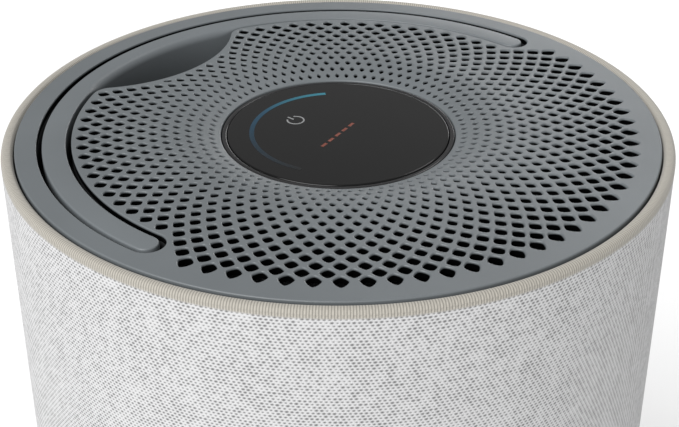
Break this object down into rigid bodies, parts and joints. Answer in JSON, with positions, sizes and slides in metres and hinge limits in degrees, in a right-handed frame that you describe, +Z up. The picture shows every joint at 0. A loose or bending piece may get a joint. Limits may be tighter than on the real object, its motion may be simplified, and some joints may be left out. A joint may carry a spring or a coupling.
{
  "type": "air purifier",
  "caption": "Cylindrical room air purifier: fabric-wrapped body, perforated top with flush bail handle and round display, centrifugal fan, pleated filter and twist-off base cover.",
  "frame": {"origin": "on the floor, at the middle of the object's box, which is the body's own axis", "axes": "+Z up along the body's axis, +Y to the back where the handle's grip lies, X along the handle's two pivots"},
  "size_m": [0.3123, 0.3124, 0.54],
  "materials": {
    "cover_plastic": "satin, fine moulded grain",
    "handle_plastic": "satin",
    "fabric": "woven light grey-white knit",
    "display_glass": "glossy black, lit from below",
    "bezel_plastic": "semi-gloss black",
    "light_guide": "milky, translucent",
    "inner_plastic": "matt dark grey",
    "black_plastic": "matt black, moulded grain",
    "shell_plastic": "matt light grey",
    "fan_plastic": "satin grey",
    "steel": "zinc plated",
    "motor_steel": "pressed steel",
    "laminations": "stacked laminations",
    "copper": "enamelled copper wire",
    "magnet": "sintered ferrite",
    "circuit_board": "green solder mask",
    "components": "moulded components",
    "emitter": "white light emitters",
    "rubber": "matt black rubber",
    "foam": "closed-cell foam",
    "paper": "pleated filter paper",
    "carbon": "activated carbon granules in a net",
    "wire": "sheathed wires",
    "tab": "woven tape"
  },
  "bodies": {
    "body": {"top_cover": "cover_plastic", "top_cover_screws": "steel", "handle_pivot_pins": "steel", "handle_tray": "inner_plastic", "display_lens": "display_glass", "display_bezel": "bezel_plastic", "light_guide": "light_guide", "display_leds": "emitter", "display_board": "circuit_board", "display_cup": "black_plastic", "display_screws": "steel", "outer_shell": "shell_plastic", "fabric_sleeve": "fabric", "shell_screws": "steel", "fan_duct": "inner_plastic", "duct_seal": "foam", "motor_spider": "inner_plastic", "spider_screws": "steel", "motor_can": "motor_steel", "motor_end_bell": "motor_steel", "motor_stator": "laminations", "motor_windings": "copper", "motor_bearings": "steel", "motor_grommets": "rubber", "motor_screws": "steel", "inlet_bell": "inner_plastic", "inlet_guard": "black_plastic", "filter_deck": "inner_plastic", "deck_screws": "steel", "main_board": "circuit_board", "board_components": "components", "board_screws": "steel", "wire_harness": "wire", "air_sensor": "black_plastic", "filter_media": "paper", "filter_carbon_core": "carbon", "filter_cap_top": "black_plastic", "filter_cap_bottom": "black_plastic", "filter_seal": "foam", "filter_pull_tab": "tab", "base_housing": "black_plastic", "power_inlet": "black_plastic", "inlet_pins": "steel", "door_switch": "black_plastic", "rubber_feet": "rubber"},
    "handle": {"handle": "handle_plastic"},
    "fan": {"motor_shaft": "steel", "motor_rotor": "magnet", "fan_impeller": "fan_plastic", "impeller_nut": "steel"},
    "filter_cover": {"filter_cover": "black_plastic"}
  },
  "joints": [
    {"name": "handle_swing", "type": "hinge", "parent": "body", "child": "handle", "pos_m": [0, -0.00553, 0.5337], "axis": [1, 0, 0], "range_deg": [0, 90]},
    {"name": "fan_spin", "type": "hinge", "parent": "body", "child": "fan", "pos_m": [0, 0, 0.37], "axis": [0, 0, 1], "continuous": true},
    {"name": "filter_cover_twist", "type": "hinge", "parent": "body", "child": "filter_cover", "pos_m": [0, 0, 0.012], "axis": [0, 0, 1], "range_deg": [0, 25]}
  ]
}
